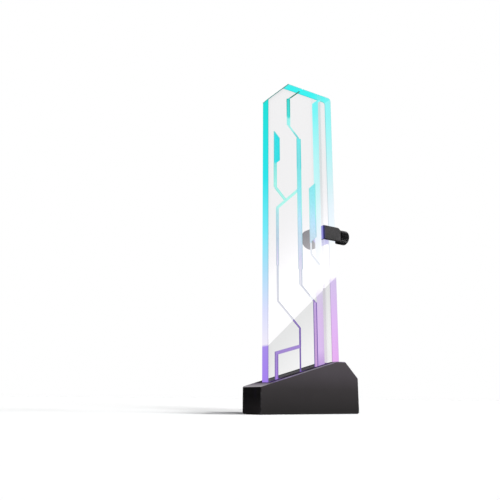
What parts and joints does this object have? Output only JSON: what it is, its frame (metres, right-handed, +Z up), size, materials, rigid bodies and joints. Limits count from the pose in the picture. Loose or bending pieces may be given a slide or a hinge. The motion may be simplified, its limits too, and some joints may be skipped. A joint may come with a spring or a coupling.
{
  "type": "graphics card support bracket",
  "caption": "Free-standing graphics card support: ramped black base, tall edge-lit clear panel engraved with circuit lines, and a thumbscrew clamp whose padded peg slides up and down.",
  "frame": {"origin": "middle of the underside of the base, on the surface that it stands on", "axes": "+Z up along the panel, +X towards the clamp and the base's high end, -Y the engraved front of the panel"},
  "size_m": [0.0743, 0.027, 0.2171],
  "materials": {
    "black_housing": "satin moulded black",
    "black_cover": "fine moulded texture",
    "black_steel": "black oxide",
    "brass_insert": "turned brass",
    "magnet_nickel": "nickel plated",
    "black_rubber": "soft matte",
    "board_green": "solder mask",
    "led_white": "white package with clear resin",
    "capacitor_tan": "ceramic",
    "socket_white": "natural nylon",
    "pin_brass": "tinned",
    "zinc_steel": "zinc plated",
    "clear_acrylic": "clear cast acrylic, polished edges, lit from below",
    "clamp_grey": "fine matte",
    "clamp_black": "fine matte",
    "tip_nylon": "natural nylon",
    "knob_black": "knurled"
  },
  "bodies": {
    "stand": {"base_housing": "black_housing", "bottom_cover": "black_cover", "cover_screws": "black_steel", "boss_inserts": "brass_insert", "magnets": "magnet_nickel", "foot_pad": "black_rubber", "led_board": "board_green", "leds": "led_white", "capacitors": "capacitor_tan", "board_connector": "socket_white", "connector_pins": "pin_brass", "board_screws": "zinc_steel", "cable_grommet": "black_rubber", "light_panel": "clear_acrylic"},
    "clamp": {"slider_body": "clamp_grey", "support_arm": "clamp_black", "arm_sleeve": "black_rubber", "clamp_screws": "black_steel"},
    "tip": {"pressure_tip": "tip_nylon"},
    "thumbscrew": {"thumbscrew_shank": "zinc_steel", "thumbscrew_knob": "knob_black"}
  },
  "joints": [
    {"name": "clamp_slide", "type": "slide", "parent": "stand", "child": "clamp", "axis": [0, 0, 1], "range_m": [-0.073, 0.09]},
    {"name": "tip_travel", "type": "slide", "parent": "clamp", "child": "tip", "axis": [1, 0, 0], "range_m": [0, 0.0021]},
    {"name": "thumbscrew_turn", "type": "hinge", "parent": "tip", "child": "thumbscrew", "pos_m": [0.03, 0, 0.11515], "axis": [1, 0, 0], "range_deg": [0, 1080]}
  ],
  "couplings": [
    {"joint": "thumbscrew_turn", "follows": "tip_travel", "rad_per_m": 8976}
  ]
}
